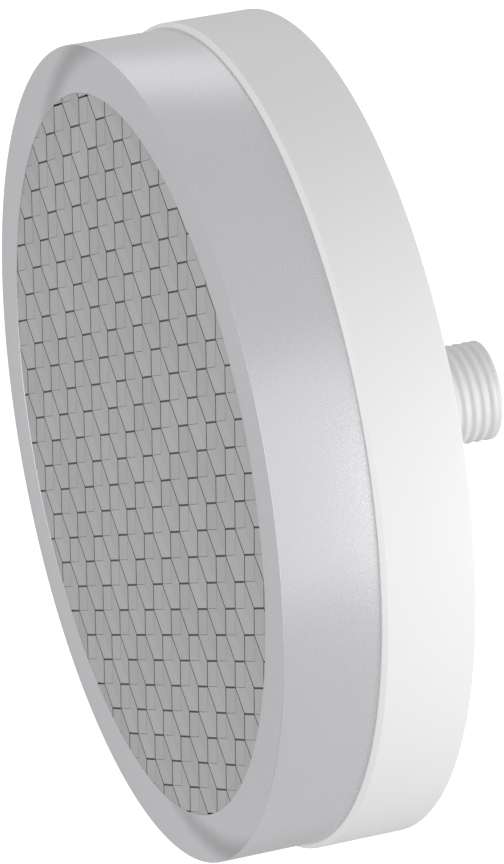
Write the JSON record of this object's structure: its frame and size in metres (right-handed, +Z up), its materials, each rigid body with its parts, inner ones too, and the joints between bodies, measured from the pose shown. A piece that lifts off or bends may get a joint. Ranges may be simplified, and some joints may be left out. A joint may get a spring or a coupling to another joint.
{
  "type": "survey prism target",
  "caption": "Round corner-cube prism array in a turned ring, clamped in a cup-shaped housing with a threaded mounting stub behind.",
  "frame": {"origin": "on the optical axis, in the plane of the housing's flat rear face, where the threaded stub leaves it", "axes": "+Y along the threaded stub, out of the back; the prism array looks along -Y; +Z is up, and each hexagonal cell stands with two sides parallel to Z"},
  "size_m": [0.0812, 0.0365, 0.0812],
  "materials": {
    "ring": "fine bead-blasted and clear anodised, turned on its front face",
    "housing": "white, moulded, satin",
    "prism": "moulded clear acrylic over a silvered cube-corner back, seen grey",
    "stub": "satin, thread cut",
    "spacer": "black, moulded",
    "backing": "dark grey sheet",
    "rubber": "matte black",
    "steel": "plain stainless"
  },
  "bodies": {
    "housing": {"housing": "housing", "threaded_stub": "stub", "stub_o_ring": "rubber", "flange_screw_1": "steel", "flange_screw_2": "steel", "flange_screw_3": "steel", "flange_screw_4": "steel", "lock_washer_1": "steel", "lock_washer_2": "steel", "lock_washer_3": "steel", "lock_washer_4": "steel"},
    "bezel_seal": {"bezel_o_ring": "rubber"},
    "bezel": {"bezel_ring": "ring", "front_seal": "rubber", "prism_plate": "prism", "spacer_ring": "spacer", "backing_disc": "backing", "rear_cushion": "rubber", "slip_washer": "steel", "retaining_ring": "ring"}
  },
  "joints": [
    {"name": "bezel_travel", "type": "slide", "parent": "housing", "child": "bezel_seal", "axis": [0, -1, 0], "range_m": [0, 0.0046]},
    {"name": "bezel_turn", "type": "hinge", "parent": "bezel_seal", "child": "bezel", "pos_m": [0, -0.0093, 0], "axis": [0, -1, 0], "range_deg": [0, 1080]}
  ],
  "couplings": [
    {"joint": "bezel_travel", "follows": "bezel_turn", "m_per_rad": 0.00023873}
  ]
}
